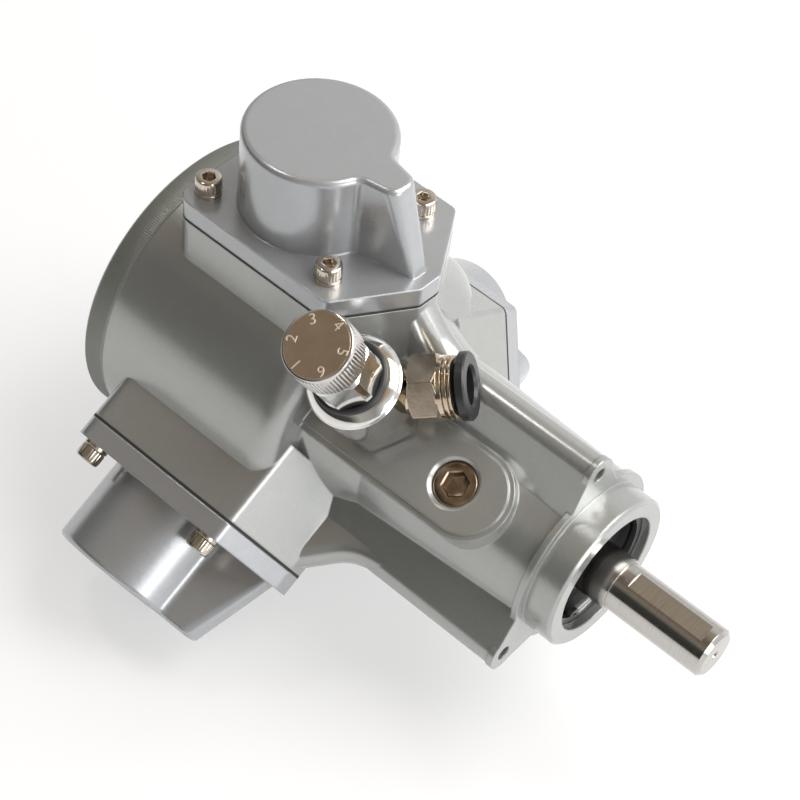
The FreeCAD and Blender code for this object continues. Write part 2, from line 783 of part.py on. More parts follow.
def ball_bearing(place_name, front_back, width):
    outer = place_name + "_bearing_outer_radius"
    bore = place_name + "_bearing_bore_radius"
    ball = place_name + "_ball_radius"
    pitch = "((%s + %s) / 2)" % (outer, bore)
    wall = "((%s - %s) * race_ring_share)" % (outer, bore)
    start = "-(%s) - %s" % (front_back, width)
    middle = "-(%s) - %s / 2" % (front_back, width)
    race = "(%s + race_clearance)" % ball
    # Each race is a groove with a flat floor and slanted sides that clear the balls.
    floor = "%s * %s" % (race, NARROW)
    for part_name, outside, inside, side in (
            ("outer_ring", outer, "%s - %s" % (outer, wall), 1),
            ("inner_ring", bore, "%s + %s" % (bore, wall), -1)):
        name = "%s_bearing_%s" % (place_name, part_name)
        lip = "(%s * sqrt(2) - (%s - %s) * %d)" % (race, inside, pitch, side)
        bottom = "%s + %s * %d" % (pitch, race, side)
        node(revolved(name + "_turned", [
            (start, outside),
            (start + " + " + width, outside),
            (start + " + " + width, inside),
            (middle + " + " + lip, inside),
            (middle + " + " + floor, bottom),
            (middle + " - " + floor, bottom),
            (middle + " - " + lip, inside),
            (start, inside),
        ]), name)
    balls = []
    for number in range(BALLS):
        sphere = doc.addObject("Part::Sphere", "%s_ball_%d" % (place_name, number + 1))
        bind(sphere, Radius=ball)
        angle = 360 / BALLS * number
        place(sphere, (middle, "-%s * sin(%g deg)" % (pitch, angle), "%s * cos(%g deg)" % (pitch, angle)))
        balls.append(sphere)
    node(gather(place_name + "_ball_set", balls), place_name + "_bearing_balls")


def oil_seal():
    back = "-front_bearing_front_back"
    lip = "front_bearing_bore_radius + seal_lip_clearance"
    front = back + " + seal_width"
    node(revolved("oil_seal_ring", [
        (back, "front_bearing_outer_radius"),
        (front, "front_bearing_outer_radius"),
        (front, "seal_shell_radius"),
        (front + " - seal_face_depth", "seal_shell_radius - seal_shell_slope"),
        (front + " - seal_face_depth", "seal_lip_foot_radius"),
        (front + " - seal_lip_drop", lip + " + seal_lip_width"),
        (front + " - seal_lip_drop", lip),
        (back + " + seal_wall", lip),
        (back + " + seal_wall", "seal_shell_radius - seal_wall"),
        (back, "seal_shell_radius - seal_wall"),
    ]), "oil_seal")


def retaining_ring():
    outside = rod_x("circlip_outside", "circlip_radius", "circlip_forward", "circlip_thickness")
    band = cut("circlip_band", outside,
               [rod_x("circlip_inside", "circlip_inner_radius", "circlip_forward", "circlip_thickness"),
                block("circlip_gap", ("circlip_forward", "-circlip_gap_width / 2", "-circlip_radius"),
                      ("circlip_thickness", "circlip_gap_width", "circlip_radius"))])
    lugs = []
    for number, side in enumerate((-1, 1)):
        reach = "(circlip_gap_width / 2 + circlip_lug_radius) * %d" % side
        lug = rod_x("circlip_lug_%d" % number, "circlip_lug_radius", "circlip_forward", "circlip_thickness",
                    reach, "-circlip_inner_radius + circlip_lug_inset")
        lugs.append(cut("circlip_eye_%d" % number, lug,
                        [rod_x("circlip_pinhole_%d" % number, "circlip_eye_radius", "circlip_forward",
                               "circlip_thickness", reach, "-circlip_inner_radius + circlip_lug_inset")]))
    node(fuse("retaining_ring_solid", [band] + lugs), "retaining_ring")


# Air distribution: a fixed sleeve with ports, and a rotor on the shaft that opens them in turn

def valve_sleeve():
    length = "sleeve_back - sleeve_front_back"
    bore = "rotor_radius + rotor_clearance"
    tube = cut("sleeve_tube", rod_x("sleeve_outside", "sleeve_seat_radius", "-sleeve_back", length),
               [rod_x("sleeve_inside", bore, "-sleeve_back", length)])
    groove = cut("sleeve_groove", rod_x("sleeve_groove_outer", "sleeve_seat_radius",
                                        "-valve_back - groove_width / 2", "groove_width"),
                 [rod_x("sleeve_groove_inner", "sleeve_seat_radius - groove_depth",
                        "-valve_back - groove_width / 2", "groove_width")])
    ports = []
    hole_start = "rotor_radius - pocket_depth"
    hole_length = "sleeve_seat_radius - rotor_radius + pocket_depth"
    for index in range(STATIONS):
        port = rod_z("sleeve_port_%d" % (index + 1), "passage_radius", hole_start, hole_length,
                     "-throw_back + passage_forward")
        ports.append(station(gather("sleeve_port_group_%d" % (index + 1), [port]), index))
    feed = rod_z("sleeve_feed", "passage_radius", hole_start, hole_length, "-valve_back")
    for index in range(int(SIZES["sleeve_port_count"])):
        ports.append(turned(gather("sleeve_feed_group_%d" % (index + 1), [feed]),
                            "360 / sleeve_port_count * (%d + 0.5)" % index))
    node(cut("valve_sleeve_solid", tube, [groove] + ports), "valve_sleeve")


def rotary_valve():
    length = "sleeve_back - sleeve_front_back"
    drum = cut("rotor_drum", rod_x("rotor_outside", "rotor_radius", "-sleeve_back + rotor_end_gap",
                                   length + " - rotor_end_gap * 2"),
               [rod_x("rotor_inside", "rear_bearing_bore_radius", "-sleeve_back", length)])
    inner = "rotor_radius - pocket_depth"
    supply = cut("rotor_supply_ring", rod_x("rotor_supply_outer", "rotor_radius", "-sleeve_back + pocket_land",
                                            "sleeve_back - valve_back + groove_width / 2"),
                 [rod_x("rotor_supply_inner", inner, "-sleeve_back", length),
                  block("rotor_supply_half", ("-sleeve_back", "-rotor_radius", "-rotor_radius"),
                        (length, "rotor_radius * 2", "rotor_radius + pocket_half_web"))])
    exhaust_band = rod_x("rotor_exhaust_outer", "rotor_radius", "-sleeve_back + pocket_land",
                         "(sleeve_back - valve_back) / 2")
    exhaust = cut("rotor_exhaust_ring", exhaust_band,
                  [rod_x("rotor_exhaust_inner", inner, "-sleeve_back", length),
                   block("rotor_exhaust_half", ("-sleeve_back", "-rotor_radius", "-pocket_half_web"),
                         (length, "rotor_radius * 2", "rotor_radius + pocket_half_web"))])
    slot = block("rotor_exhaust_slot", ("-sleeve_back + pocket_land", "-pocket_half_web", "-rotor_radius"),
                 (length, "pocket_half_web * 2", "pocket_depth"))
    node(cut("rotary_valve_solid", drum, [supply, exhaust, slot]), "rotary_valve")


# Crankshaft with its overhung pin, counterweight and roller ring

def crankshaft():
    web_front = "-cavity_back - collar_thickness"
    shaft = revolved("crank_turned", [
        (web_front + " - crank_web_thickness", "0"),
        (web_front + " - crank_web_thickness", "crank_web_radius"),
        (web_front, "crank_web_radius"),
        (web_front, "collar_radius"),
        ("-cavity_back", "collar_radius"),
        ("-cavity_back", "rear_bearing_bore_radius"),
        ("-front_bearing_front_back - front_bearing_width", "rear_bearing_bore_radius"),
        ("-front_bearing_front_back - front_bearing_width", "front_bearing_bore_radius"),
        ("output_step", "front_bearing_bore_radius"),
        ("output_step", "output_radius"),
        ("output_tip - tip_chamfer", "output_radius"),
        ("output_tip", "output_radius - tip_chamfer"),
        ("output_tip", "centre_hole_radius"),
        ("output_tip - centre_hole_depth", "0"),
    ])
    pin = rod_x("crank_pin", "crank_pin_radius", web_front + " - crank_web_thickness - crank_pin_length",
                "crank_pin_length + crank_web_thickness", "0", "crank_offset")
    flat = block("shaft_flat", ("flat_from", "-output_radius", "flat_height"),
                 ("flat_to - flat_from", "output_radius * 2", "output_radius"))
    flat_turned = turned(gather("shaft_flat_turned", [flat]), "flat_angle")
    node(cut("crankshaft_solid", fuse("crank_blank", [shaft, pin]), [flat_turned]), "crankshaft")

    start = web_front + " - crank_web_thickness"
    disc = cut("weight_disc", rod_x("weight_outside", "counterweight_radius", start, "crank_web_thickness"),
               [rod_x("weight_inside", "crank_web_radius", start, "crank_web_thickness")])
    lower = block("weight_lower_half", (start, "-counterweight_radius", "-counterweight_radius"),
                  ("crank_web_thickness", "counterweight_radius * 2", "counterweight_radius"))
    node(common("counterweight_solid", [disc, lower]), "counterweight")

    centre = "-throw_back - crank_ring_width / 2"
    node(cut("crank_ring_solid",
             rod_x("crank_ring_outside", "crank_ring_radius", centre, "crank_ring_width", "0", "crank_offset"),
             [rod_x("crank_ring_inside", "crank_pin_radius + crank_ring_clearance", centre, "crank_ring_width",
                    "0", "crank_offset")]), "crank_pin_ring")


# Pistons, their rings and pins, and the rods. Each stands at the height that the crank gives it at rest.

def rest_drop(index):
    """Distance of a piston below its top dead centre, with the crank pin under the first cylinder."""
    angle = math.radians(SIZES["station_angle"] * (index - 1))
    throw, rod = SIZES["crank_offset"], SIZES["rod_length"]
    return throw + rod - throw * math.cos(angle) - math.sqrt(rod ** 2 - (throw * math.sin(angle)) ** 2)


def rest_swing(index):
    """Lean of a rod at rest, about its wrist pin, in degrees."""
    angle = math.radians(SIZES["station_angle"] * (index - 1))
    return math.degrees(math.asin(SIZES["crank_offset"] * math.sin(angle) / SIZES["rod_length"]))


def station_frame(index, drop=0.0):
    turn = FreeCAD.Rotation(FreeCAD.Vector(1, 0, 0), SIZES["station_angle"] * (index - 1))
    return FreeCAD.Placement(turn.multVec(FreeCAD.Vector(0, 0, -drop)), turn)


# Heights of the wrist pin and the crown at top dead centre
PIN_HEIGHT = "(crank_offset + rod_length)"
CROWN = "(crank_offset + rod_length + pin_below_crown)"


def piston(index):
    tag = "piston_%d_" % index
    skirt = CROWN + " - piston_length"
    pin = PIN_HEIGHT
    side = "bore_radius - piston_clearance"
    groove = CROWN + " - ring_groove_below_crown - ring_height"
    shell = revolved(tag + "shell", [
        ("0", CROWN),
        (side, CROWN),
        (side, CROWN + " - ring_groove_below_crown"),
        (side + " - ring_depth", CROWN + " - ring_groove_below_crown"),
        (side + " - ring_depth", groove),
        (side, groove),
        (side, skirt),
        (side + " - piston_wall", skirt),
        (side + " - piston_wall", CROWN + " - piston_crown_thickness"),
        ("0", CROWN + " - piston_crown_thickness"),
    ], "V_Axis")
    eye = rod_x(tag + "eye", "pin_radius", "-bore_radius", "bore_radius * 2", "0", pin)
    blank = cut(tag + "solid", shell, [eye])
    shift = FreeCAD.Placement(FreeCAD.Vector(-SIZES["throw_back"], 0, 0), FreeCAD.Rotation())
    blank.Placement = station_frame(index, rest_drop(index)).multiply(shift)
    node(blank, "piston_%d" % index)

    ring = cut(tag + "ring", rod_z(tag + "ring_outside", side + " + ring_stand_out", groove, "ring_height"),
               [rod_z(tag + "ring_inside", side + " - ring_depth", groove, "ring_height")])
    ring.Placement = station_frame(index, rest_drop(index)).multiply(shift)
    node(ring, "piston_ring_%d" % index)

    pin_bar = rod_x(tag + "pin_outside", "pin_radius", "-pin_length / 2", "pin_length", "0", pin)
    wrist = cut(tag + "pin", pin_bar,
                [rod_x(tag + "pin_inside", "pin_radius - pin_wall", "-pin_length / 2", "pin_length", "0", pin)])
    wrist.Placement = station_frame(index, rest_drop(index)).multiply(shift)
    node(wrist, "wrist_pin_%d" % index)


def connecting_rod(index):
    """The rod stands in a frame of its own, with its wrist pin on the frame's X axis.
    Its foot ends clear of the crank ring's sweep, so that rod and crank can move by themselves."""
    reach = "(rod_length - crank_offset * 2 - crank_ring_radius - rod_foot_gap)"
    tag = "rod_%d_" % index
    start = "-rod_width / 2"
    eye = rod_x(tag + "eye", "rod_eye_radius", start, "rod_width")
    shank = plate(tag + "shank", [
        ("-rod_shank_half", "-" + reach + " + rod_foot_thickness / 2"),
        ("rod_shank_half", "-" + reach + " + rod_foot_thickness / 2"),
        ("rod_shank_half * rod_shank_flare", "0"),
        ("-rod_shank_half * rod_shank_flare", "0"),
    ], "rod_width", start, "YZ_Plane")
    foot = plate(tag + "foot", [
        ("-rod_foot_half", "-" + reach),
        ("rod_foot_half", "-" + reach),
        ("rod_foot_half", "-" + reach + " + rod_foot_thickness"),
        ("rod_shank_half", "-" + reach + " + rod_foot_thickness + rod_foot_taper"),
        ("-rod_shank_half", "-" + reach + " + rod_foot_thickness + rod_foot_taper"),
        ("-rod_foot_half", "-" + reach + " + rod_foot_thickness"),
    ], "rod_width", start, "YZ_Plane")
    hole = rod_x(tag + "hole", "pin_radius + pin_clearance", start, "rod_width")
    saddle = rod_x(tag + "saddle", "crank_ring_radius", start, "rod_width", "0",
                   "-" + reach + " - crank_ring_radius + rod_saddle_depth")
    solid = cut(tag + "solid", fuse(tag + "blank", [eye, shank, foot]), [hole, saddle])
    pin_height = SIZES["crank_offset"] + SIZES["rod_length"]
    lean = FreeCAD.Placement(FreeCAD.Vector(-SIZES["throw_back"], 0, pin_height),
                             FreeCAD.Rotation(FreeCAD.Vector(1, 0, 0), rest_swing(index)))
    solid.Placement = station_frame(index, rest_drop(index)).multiply(lean)
    node(solid, "connecting_rod_%d" % index)


# Speed control valve. It is drawn with its own axis along Z, heights measured from the pad's face,
# and its tube fitting along X, then carried to the pad.

def valve_frame():
    pad_turn = FreeCAD.Placement(FreeCAD.Vector(),
                                 FreeCAD.Rotation(FreeCAD.Vector(1, 0, 0), SIZES["pad_angle"]))
    stand = FreeCAD.Placement(FreeCAD.Vector(-SIZES["valve_back"], SIZES["valve_side"], SIZES["pad_height"]),
                              FreeCAD.Rotation(FreeCAD.Vector(0, 0, 1), SIZES["valve_turn"]))
    return pad_turn.multiply(stand)


def valve_node(thing, label):
    thing.Placement = valve_frame()
    return node(thing, label)


def speed_valve():
    washer = cut("valve_washer", rod_z("valve_washer_outside", "valve_washer_radius", "0",
                                       "valve_washer_thickness"),
                 [rod_z("valve_washer_inside", "port_radius", "0", "valve_washer_thickness")])
    valve_node(washer, "valve_seat_washer")

    foot_height = "valve_washer_thickness"
    bar = hexagon("valve_bar", "valve_across", foot_height, "valve_hex_top - " + foot_height, "valve_hex_turn")
    turned_bar = revolved("valve_bar_turning", [
        ("0", foot_height),
        ("valve_across / 2", foot_height),
        ("valve_corner_radius", foot_height + " + edge_break"),
        ("valve_corner_radius", "valve_hex_top"),
        ("0", "valve_hex_top"),
    ], "V_Axis")
    foot = common("valve_hex", [bar, turned_bar])
    drum = revolved("valve_drum", [
        ("0", "valve_hex_top"),
        ("valve_corner_radius", "valve_hex_top"),
        ("valve_corner_radius", "valve_top - edge_break"),
        ("valve_corner_radius - edge_break", "valve_top"),
        ("0", "valve_top"),
    ], "V_Axis")
    stub = rod_z("valve_stub", "port_radius", foot_height + " - valve_stub_length", "valve_stub_length")
    side_bore = rod_x("valve_side_bore", "fitting_stub_radius", "fitting_stub_start",
                      "valve_across - fitting_stub_start", "0", "fitting_height")
    side_way = rod_x("valve_side_way", "valve_bore_radius", "0", "valve_across", "0", "fitting_height")
    well = rod_z("valve_well", "valve_bore_radius", "valve_seat_height", "valve_top - valve_seat_height")
    seat = rod_z("valve_seat", "valve_seat_radius", foot_height + " - valve_stub_length",
                 "valve_seat_height + valve_stub_length")
    valve_node(cut("valve_body_solid", fuse("valve_blank", [foot, drum, stub]),
                   [side_bore, side_way, well, seat]), "valve_body")

    hex_height = "(bonnet_top - bonnet_hex_base)"
    base = "valve_top"
    neck = rod_z("bonnet_neck", "bonnet_neck_radius", base, "bonnet_hex_base - " + base)
    nut = hexagon("bonnet_hex", "bonnet_across", "bonnet_hex_base", hex_height, "bonnet_hex_turn")
    nut_turning = revolved("bonnet_turning", [
        ("0", "bonnet_hex_base"),
        ("bonnet_across / 2", "bonnet_hex_base"),
        ("bonnet_across / 2 + edge_break", "bonnet_hex_base + edge_break"),
        ("bonnet_across / 2 + edge_break", "bonnet_top - edge_break"),
        ("bonnet_across / 2", "bonnet_top"),
        ("0", "bonnet_top"),
    ], "V_Axis")
    bore = rod_z("bonnet_bore", "needle_radius + needle_clearance", base, "bonnet_top - " + base)
    bonnet = fuse("bonnet_blank", [neck, common("bonnet_nut", [nut, nut_turning])])
    valve_node(cut("bonnet_solid", bonnet, [bore]), "valve_bonnet")
    valve_node(seal_ring("bonnet_ring", "bonnet_ring_section", "bonnet_neck_radius + bonnet_ring_section",
                         "bonnet_hex_base - bonnet_ring_section", "V_Axis"), "bonnet_ring_seal")

    needle = revolved("needle_turned", [
        ("0", "needle_tip"),
        ("needle_tip_radius", "needle_tip"),
        ("needle_radius", "needle_tip + needle_cone"),
        ("needle_radius", "needle_top"),
        ("0", "needle_top"),
    ], "V_Axis")
    valve_node(needle, "needle_spindle")

    cap = revolved("knob_cap", [
        ("needle_radius + needle_clearance", "knob_base"),
        ("needle_radius + knob_hub_wall", "knob_base"),
        ("needle_radius + knob_hub_wall", "needle_top"),
        ("knob_radius - knob_wall - knob_chamfer", "needle_top"),
        ("knob_radius - knob_wall - knob_chamfer", "knob_base"),
        ("knob_radius - knob_chamfer", "knob_base"),
        ("knob_radius", "knob_base + knob_chamfer"),
        ("knob_radius", "knob_top - knob_chamfer"),
        ("knob_radius - knob_chamfer", "knob_top"),
        ("0", "knob_top"),
        ("0", "needle_top + needle_clearance"),
        ("needle_radius + needle_clearance", "needle_top + needle_clearance"),
    ], "V_Axis")
    valve_node(cap, "throttle_knob")


def tube_fitting():
    """The fitting is drawn along Z from the valve's axis, then laid along the valve's X axis."""
    groove_at = "fitting_hex_end + (fitting_collar_end - fitting_hex_end) * %s - fitting_groove_width / 2"
    groove_floor = "fitting_collar_radius - fitting_groove_depth"
    collar_points = [("0", "fitting_hex_end - fitting_collar_chamfer"),
                     ("fitting_collar_radius", "fitting_hex_end - fitting_collar_chamfer")]
    for share in ("fitting_groove_low", "fitting_groove_high"):
        start = groove_at % share
        collar_points += [
            ("fitting_collar_radius", start),
            (groove_floor, start + " + fitting_groove_slope"),
            (groove_floor, start + " + fitting_groove_width - fitting_groove_slope"),
            ("fitting_collar_radius", start + " + fitting_groove_width"),
        ]
    collar_points += [("fitting_collar_radius", "fitting_collar_end - fitting_collar_chamfer"),
                      ("fitting_collar_radius - fitting_collar_chamfer", "fitting_collar_end"),
                      ("0", "fitting_collar_end")]
    collar = revolved("fitting_collar", collar_points, "V_Axis")
    nut = hexagon("fitting_hex", "fitting_across", "fitting_hex_start", "fitting_hex_end - fitting_hex_start",
                  "fitting_hex_turn")
    nut_turning = revolved("fitting_turning", [
        ("0", "fitting_hex_start"),
        ("fitting_across / 2", "fitting_hex_start"),
        ("fitting_across / 2 + fitting_corner_ease", "fitting_hex_start + edge_break"),
        ("fitting_across / 2 + fitting_corner_ease", "fitting_hex_end - edge_break"),
        ("fitting_across / 2", "fitting_hex_end"),
        ("0", "fitting_hex_end"),
    ], "V_Axis")
    stub = rod_z("fitting_stub", "fitting_stub_radius", "fitting_stub_start",
                 "fitting_hex_start - fitting_stub_start")
    blank = fuse("fitting_blank", [collar, common("fitting_nut", [nut, nut_turning]), stub])
    bore = rod_z("fitting_bore", "fitting_bore_radius", "fitting_bore_start",
                 "fitting_collar_end - fitting_bore_start")
    way = rod_z("fitting_way", "fitting_way_radius", "fitting_stub_start",
                "fitting_bore_start - fitting_stub_start")
    pieces = [(cut("fitting_solid", blank, [bore, way]), "tube_fitting")]

    def tube_ring(name, outer, inner, start, length):
        return cut(name, rod_z(name + "_outside", outer, start, length),
                   [rod_z(name + "_inside", inner, start, length)])

    pieces.append((tube_ring("tube_seal_solid", "fitting_bore_radius", "tube_radius - tube_seal_pinch",
                             "tube_seal_start", "tube_seal_length"), "tube_seal"))
    pieces.append((tube_ring("grip_solid", "fitting_bore_radius", "tube_radius + grip_clearance", "grip_start",
                             "grip_length"), "tube_grip_ring"))
    release = revolved("release_turned", [
        ("tube_radius", "release_sleeve_start"),
        ("release_sleeve_radius", "release_sleeve_start"),
        ("release_sleeve_radius", "release_flange_start"),
        ("release_flange_radius", "release_flange_start"),
        ("release_flange_radius", "release_flange_end - release_round"),
        ("release_flange_radius - release_round", "release_flange_end"),
        ("tube_radius + tube_lead_width", "release_flange_end"),
        ("tube_radius", "release_flange_end - tube_lead_depth"),
    ], "V_Axis")
    pieces.append((release, "release_ring"))
    lay = FreeCAD.Placement(FreeCAD.Vector(0, 0, SIZES["fitting_height"]), ALONG_X)
    for thing, label in pieces:
        thing.Placement = valve_frame().multiply(lay)
        node(thing, label)


def port_plug():
    top = "pad_height - (countersink_radius - plug_port_radius) - plug_top_drop"
    body = rod_z("plug_body", "plug_port_radius - plug_clearance", top + " - plug_length", "plug_length",
                 "-plug_back", "-pad_offset")
    socket = hexagon("plug_socket", "plug_socket_across", top + " - plug_socket_depth", "plug_socket_depth",
                     "plug_hex_turn", "-plug_back", "-pad_offset")
    node(turned(cut("port_plug_solid", body, [socket]), "pad_angle"), "port_plug")


crankcase()
rear_cover()
for number in range(1, STATIONS + 1):
    cylinder_head(number)
    head_gasket(number)
    head_screws(number)
    piston(number)
    connecting_rod(number)
ball_bearing("front", "front_bearing_front_back", "front_bearing_width")
ball_bearing("rear", "cavity_back - rear_bearing_width", "rear_bearing_width")
oil_seal()
retaining_ring()
valve_sleeve()
rotary_valve()
crankshaft()
speed_valve()
tube_fitting()
port_plug()
doc.recompute()

# Every object must be up to date, and every sub-part whole, before anything is written.
for thing in doc.Objects:
    if "Invalid" in thing.State or "Error" in thing.State:
        raise RuntimeError("%s failed: %s" % (thing.Label, thing.State))
for thing in nodes:
    if thing.Shape.isNull() or not thing.Shape.isValid():
        raise RuntimeError("%s has no valid shape" % thing.Label)

os.makedirs("parts", exist_ok=True)
for thing in nodes:
    thing.Shape.exportStep("parts/%s.step" % thing.Label)
    print("%-28s solids %2d  volume %10.1f" % (thing.Label, len(thing.Shape.Solids), thing.Shape.Volume))
print("%d nodes" % len(nodes))
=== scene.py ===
import json
import math

import bmesh
import bpy
from mathutils import Matrix, Vector


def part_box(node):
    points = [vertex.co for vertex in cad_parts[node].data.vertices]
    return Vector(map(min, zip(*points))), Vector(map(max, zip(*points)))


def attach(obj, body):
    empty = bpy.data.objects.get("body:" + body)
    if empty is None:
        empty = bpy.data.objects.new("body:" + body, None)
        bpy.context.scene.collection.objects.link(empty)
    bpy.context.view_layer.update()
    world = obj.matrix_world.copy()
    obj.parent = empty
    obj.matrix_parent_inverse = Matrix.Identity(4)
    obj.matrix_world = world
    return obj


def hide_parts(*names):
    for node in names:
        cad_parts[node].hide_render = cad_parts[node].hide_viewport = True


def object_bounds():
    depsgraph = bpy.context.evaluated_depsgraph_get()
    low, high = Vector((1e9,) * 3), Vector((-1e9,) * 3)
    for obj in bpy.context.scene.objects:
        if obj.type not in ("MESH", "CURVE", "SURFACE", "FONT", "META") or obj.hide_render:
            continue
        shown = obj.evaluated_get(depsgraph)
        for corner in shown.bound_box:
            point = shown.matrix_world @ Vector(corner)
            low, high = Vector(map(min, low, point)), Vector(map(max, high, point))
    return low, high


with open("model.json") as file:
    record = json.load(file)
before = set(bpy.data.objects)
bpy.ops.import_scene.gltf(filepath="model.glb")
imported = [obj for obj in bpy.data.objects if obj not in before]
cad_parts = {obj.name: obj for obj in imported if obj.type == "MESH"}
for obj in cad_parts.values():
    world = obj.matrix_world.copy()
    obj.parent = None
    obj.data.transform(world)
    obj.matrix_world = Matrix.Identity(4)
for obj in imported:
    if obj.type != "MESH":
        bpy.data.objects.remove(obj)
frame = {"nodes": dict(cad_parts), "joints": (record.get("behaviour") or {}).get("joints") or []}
cad_low, cad_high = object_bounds()


# Camera: it looks down on the motor from in front of the shaft's end and to its right, tilted a
# little, with a long lens, as the photograph does.

CAMERA_PLACE = Vector((0.17641, -0.32011, 0.45445))
CAMERA_AZIMUTH = math.radians(36.87)
CAMERA_ELEVATION = math.radians(48.16)
CAMERA_ROLL = math.radians(7.31)
LENS = 101.96
SENSOR = 36
NEAREST = 0.01
FARTHEST = 100

camera = bpy.data.objects.new("camera", bpy.data.cameras.new("camera"))
bpy.context.collection.objects.link(camera)
bpy.context.scene.camera = camera
back = Vector((
    math.sin(CAMERA_AZIMUTH) * math.cos(CAMERA_ELEVATION),
    -math.cos(CAMERA_AZIMUTH) * math.cos(CAMERA_ELEVATION),
    math.sin(CAMERA_ELEVATION),
))
level = Vector((math.cos(CAMERA_AZIMUTH), math.sin(CAMERA_AZIMUTH), 0))
right = level * math.cos(CAMERA_ROLL) + back.cross(level) * math.sin(CAMERA_ROLL)
turn = Matrix((right, back.cross(right), back)).transposed().to_4x4()
camera.matrix_world = Matrix.Translation(CAMERA_PLACE) @ turn
camera.data.sensor_width = SENSOR
camera.data.lens = LENS
camera.data.clip_start = NEAREST
camera.data.clip_end = FARTHEST


# Floor, lamps and world: a wide pale sheet under the motor, three soft lamps, and a room that is light
# behind the motor and dim in front of it, with a warm ceiling, which is what the bright metal mirrors.

class Signal:
    """A socket that can be reckoned with: + and * on it add Math nodes to its tree."""

    def __init__(self, shader, socket):
        self.shader, self.socket = shader, socket

    def reckon(self, operation, other):
        return self.shader.node("ShaderNodeMath", {"operation": operation}, {0: self, 1: other})

    def __add__(self, other):
        return self.reckon("ADD", other)

    def __mul__(self, other):
        return self.reckon("MULTIPLY", other)

    __radd__ = __add__
    __rmul__ = __mul__


class Shader:
    """A node tree in the making. Every node comes from node()."""

    def __init__(self, tree):
        self.tree = tree
        tree.nodes.clear()

    def node(self, kind, settings=None, sockets=None, output=0):
        made = self.tree.nodes.new(kind)
        for name, value in (settings or {}).items():
            if name == "stops":
                self.set_stops(made.color_ramp, value)
            else:
                setattr(made, name, value)
        for name, value in (sockets or {}).items():
            if isinstance(value, Signal):
                self.tree.links.new(value.socket, made.inputs[name])
            else:
                made.inputs[name].default_value = value
        return Signal(self, made.outputs[output]) if len(made.outputs) else made

    def set_stops(self, ramp, stops):
        while len(ramp.elements) < len(stops):
            ramp.elements.new(1)
        for element, (position, colour) in zip(ramp.elements, stops):
            element.position = position
            element.color = (*colour, 1)


FLOOR_COLOUR = (0.88, 0.88, 0.88, 1)
FLOOR_WHITE = 0.55
FLOOR_SIZE = 60
WHITE = (1, 1, 1, 1)
ROOM_LIGHT_SIDE = (0.55, 0.74, 0.39)
# The room's tones from its dim side to its light side, and from the horizon up to the ceiling
ROOM_SIDES = [
    (0.0, (0.03, 0.03, 0.03)),
    (0.24, (0.07, 0.07, 0.065)),
    (0.35, (0.46, 0.44, 0.41)),
    (0.56, (0.34, 0.34, 0.34)),
    (0.7, (0.75, 0.75, 0.76)),
    (1.0, (1.0, 1.0, 1.0)),
]
ROOM_HEIGHTS = [
    (0.5, (1.0, 1.0, 1.0)),
    (0.8, (1.0, 0.99, 0.97)),
    (0.9, (0.6, 0.5, 0.39)),
    (1.0, (0.5, 0.41, 0.31)),
]
# Below the horizon the room is as pale as the floor
HORIZON_COLOUR = (0.9, 0.9, 0.9, 1)
HORIZON_HEIGHTS = [(0.495, (1, 1, 1)), (0.505, (0, 0, 0))]

half = FLOOR_SIZE / 2
floor_mesh = bpy.data.meshes.new("floor")
floor_corners = [(-half, -half, 0), (half, -half, 0), (half, half, 0), (-half, half, 0)]
floor_mesh.from_pydata(floor_corners, [], [(0, 1, 2, 3)])
floor = bpy.data.objects.new("floor", floor_mesh)
bpy.context.collection.objects.link(floor)
floor.location.z = cad_low.z
floor_sheet = bpy.data.materials.new("floor_sheet")
floor_sheet.use_nodes = True
# The sheet's own white is only for what looks at it: it doesn't light the motor as a lamp
floor_sheet.cycles.emission_sampling = "NONE"
shader = Shader(floor_sheet.node_tree)
paper = shader.node("ShaderNodeBsdfPrincipled", {}, {
    "Base Color": FLOOR_COLOUR, "Roughness": 0.9, "Specular IOR Level": 0.1})
white = shader.node("ShaderNodeEmission", {}, {"Color": WHITE, "Strength": 1.0})
seen = (shader.node("ShaderNodeLightPath", {}, {}, "Is Camera Ray")
        + shader.node("ShaderNodeLightPath", {}, {}, "Is Glossy Ray")
        + shader.node("ShaderNodeLightPath", {}, {}, "Is Transmission Ray"))
sheet = shader.node("ShaderNodeMixShader", {}, {0: seen * FLOOR_WHITE, 1: paper, 2: white})
shader.node("ShaderNodeOutputMaterial", {}, {"Surface": sheet})
floor.data.materials.append(floor_sheet)

world = bpy.data.worlds.new("room")
world.use_nodes = True
bpy.context.scene.world = world
shader = Shader(world.node_tree)
ray = shader.node("ShaderNodeTexCoord", {}, {}, "Generated")
upwards = shader.node("ShaderNodeSeparateXYZ", {}, {"Vector": ray}, "Z") * 0.5 + 0.5
sideways = shader.node("ShaderNodeVectorMath", {"operation": "DOT_PRODUCT"}, {0: ray, 1: ROOM_LIGHT_SIDE},
                       "Value") * 0.5 + 0.5
sides = shader.node("ShaderNodeValToRGB", {"stops": ROOM_SIDES}, {"Fac": sideways})
heights = shader.node("ShaderNodeValToRGB", {"stops": ROOM_HEIGHTS}, {"Fac": upwards})
below = shader.node("ShaderNodeValToRGB", {"stops": HORIZON_HEIGHTS}, {"Fac": upwards})
room = shader.node("ShaderNodeMix", {"data_type": "RGBA", "blend_type": "MULTIPLY"},
                   {0: 1.0, 6: sides, 7: heights}, 2)
room = shader.node("ShaderNodeMix", {"data_type": "RGBA"}, {0: below, 6: room, 7: HORIZON_COLOUR}, 2)
room = shader.node("ShaderNodeBackground", {}, {"Color": room, "Strength": 1.0})
shader.node("ShaderNodeOutputWorld", {}, {"Surface": room})

